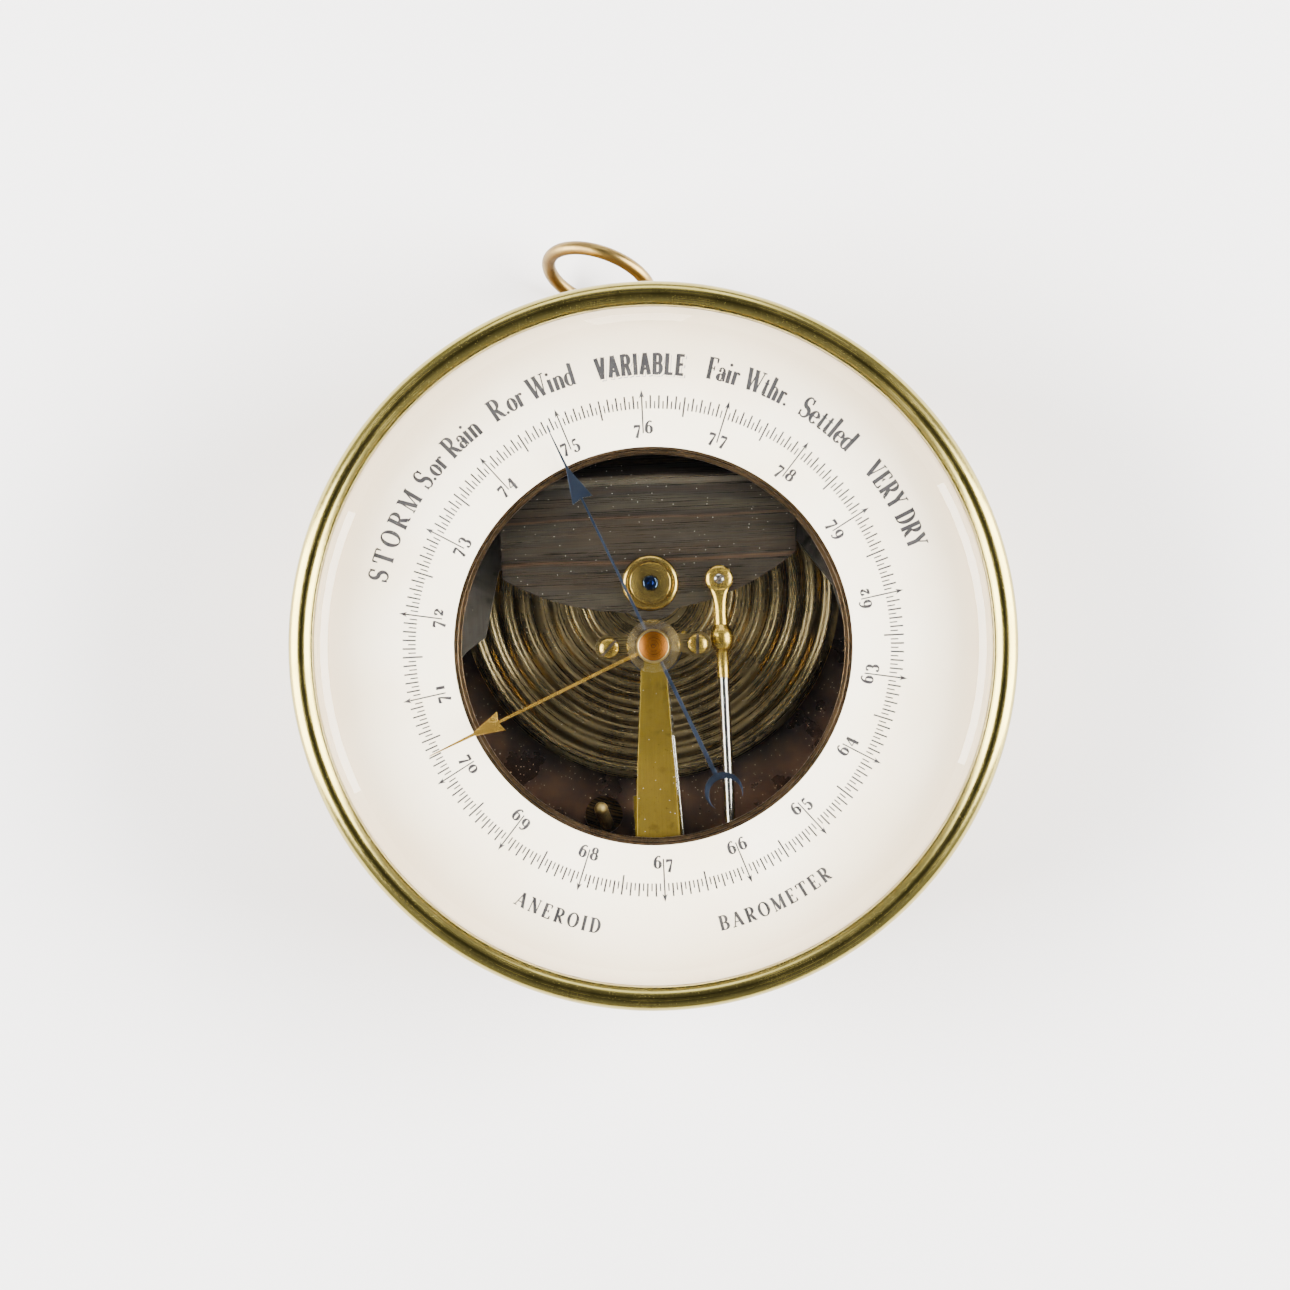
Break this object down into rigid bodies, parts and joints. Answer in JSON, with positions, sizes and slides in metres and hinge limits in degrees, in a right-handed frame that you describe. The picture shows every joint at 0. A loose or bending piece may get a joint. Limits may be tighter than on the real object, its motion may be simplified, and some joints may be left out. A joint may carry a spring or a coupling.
{
  "type": "aneroid barometer",
  "caption": "Round brass aneroid barometer with an open dial: corrugated vacuum capsule, C-spring, lever train with chain, blued pointer, brass set hand and hanging ring.",
  "frame": {"origin": "centre of the back's rear face, on the pointer's axis", "axes": "+Z out of the dial along the pointer's axis, +Y towards the hanging ring at twelve o'clock, +X to the right of the dial"},
  "size_m": [0.13, 0.14, 0.0491],
  "materials": {
    "drum_brass": "lacquered, aged",
    "bezel_brass": "polished, lightly tarnished",
    "bright_brass": "polished",
    "brushed_brass": "brushed",
    "bronze": "dark, aged",
    "knob_brass": "milled, aged orange",
    "blued_steel": "blued",
    "steel": "polished",
    "spring_steel": "tempered, brushed",
    "dark_iron": "dark, brushed",
    "capsule_metal": "satin, spun",
    "base_lacquer": "dark brown lacquer",
    "card": "matt printed card",
    "white_paint": "matt white",
    "glass": "bevelled, polished"
  },
  "bodies": {
    "case": {"case_drum": "drum_brass", "case_back": "drum_brass", "back_screws": "bright_brass", "bezel": "bezel_brass", "glass": "glass", "glass_ring": "bezel_brass", "dial_spacer": "white_paint", "dial_card": "card", "dial_plate": "bronze", "dial_pillars": "bright_brass", "hanging_eye": "drum_brass", "eye_nut": "bright_brass", "base_plate": "base_lacquer", "stop_post": "bright_brass", "capsule_foot": "bright_brass", "capsule_lower": "capsule_metal", "capsule_rim": "capsule_metal", "capsule_upper": "capsule_metal", "carriage_posts": "bright_brass", "pivot_screws": "steel", "shaft_brackets": "bright_brass", "arm_column": "brushed_brass", "bridge_arm": "brushed_brass", "arm_screws": "bright_brass", "upper_yoke": "brushed_brass", "lower_yoke": "brushed_brass", "yoke_pillars": "bright_brass", "yoke_screws": "bright_brass", "hairspring": "blued_steel", "hairspring_stud": "bright_brass"},
    "carriage": {"carriage": "dark_iron", "main_spring": "spring_steel", "clamp_bar": "dark_iron", "clamp_screws": "steel"},
    "lever": {"lever_head": "bright_brass", "lever_screw": "steel", "lever_rod": "steel", "lever_tip": "bright_brass"},
    "capsule_stud": {"capsule_pillar": "bright_brass", "collar": "bright_brass", "pillar_pin": "blued_steel"},
    "link": {"link": "steel"},
    "shaft": {"rocking_shaft": "steel", "crank": "bright_brass", "chain_arm": "steel", "counterweight": "bright_brass"},
    "chain": {"fusee_chain": "steel", "chain_wire": "steel"},
    "pointer": {"pointer": "blued_steel", "pointer_hub": "bright_brass", "arbor": "steel", "chain_drum": "bright_brass", "hairspring_collet": "bright_brass"},
    "set_hand": {"set_hand": "bright_brass", "set_knob": "knob_brass", "set_washer": "bright_brass"},
    "ring": {"hanging_ring": "drum_brass"},
    "adjuster": {"adjusting_screw": "bright_brass"}
  },
  "joints": [
    {"name": "pointer_turn", "type": "hinge", "parent": "case", "child": "pointer", "pos_m": [0, 0, 0.0389], "axis": [0, 0, 1], "range_deg": [-83.3, 256.9], "deforming": ["hairspring"]},
    {"name": "set_hand_turn", "type": "hinge", "parent": "case", "child": "set_hand", "pos_m": [0, 0, 0.041], "axis": [0, 0, 1], "continuous": true},
    {"name": "carriage_tilt", "type": "hinge", "parent": "case", "child": "carriage", "pos_m": [0, 0.002, 0.008], "axis": [1, 0, 0], "range_deg": [-0.12, 0.12]},
    {"name": "adjuster_turn", "type": "hinge", "parent": "case", "child": "adjuster", "pos_m": [0, 0.048, 0.008], "axis": [0, 0, 1], "range_deg": [-70, 70]},
    {"name": "spring_flex", "type": "hinge", "parent": "carriage", "child": "lever", "pos_m": [0, 0.03, 0.0235], "axis": [1, 0, 0], "range_deg": [-1.72, 0.56], "deforming": ["main_spring"]},
    {"name": "capsule_lift", "type": "slide", "parent": "case", "child": "capsule_stud", "axis": [0, 0, 1], "range_m": [-0.00017745, 0.00054771], "stiffness_N_per_m": 60000, "deforming": ["capsule_upper"]},
    {"name": "link_swing", "type": "hinge", "parent": "lever", "child": "link", "pos_m": [0.0119, -0.04393, 0.0304], "axis": [1, 0, 0], "range_deg": [-0.56, 1.72]},
    {"name": "shaft_rock", "type": "hinge", "parent": "case", "child": "shaft", "pos_m": [0.005, -0.04, 0.013], "axis": [1, 0, 0], "range_deg": [-32.54, 10.54]},
    {"name": "chain_pull", "type": "slide", "parent": "case", "child": "chain", "axis": [0.0508, -0.9987, 0], "range_m": [-0.00914, 0.00296], "deforming": ["fusee_chain", "chain_wire"]},
    {"name": "ring_swing", "type": "hinge", "parent": "case", "child": "ring", "pos_m": [0.00224, 0.06426, 0.00951], "axis": [-0.2343, -0.3588, -0.9035], "range_deg": [0, 118]}
  ],
  "couplings": [
    {"joint": "pointer_turn", "follows": "capsule_lift", "rad_per_m": 8183.1},
    {"joint": "spring_flex", "follows": "capsule_lift", "rad_per_m": -53.763},
    {"joint": "link_swing", "follows": "capsule_lift", "rad_per_m": 53.763},
    {"joint": "shaft_rock", "follows": "capsule_lift", "rad_per_m": -1016.5},
    {"joint": "chain_pull", "follows": "capsule_lift", "ratio": -16.366},
    {"joint": "adjuster_turn", "follows": "carriage_tilt", "ratio": 578.05}
  ]
}
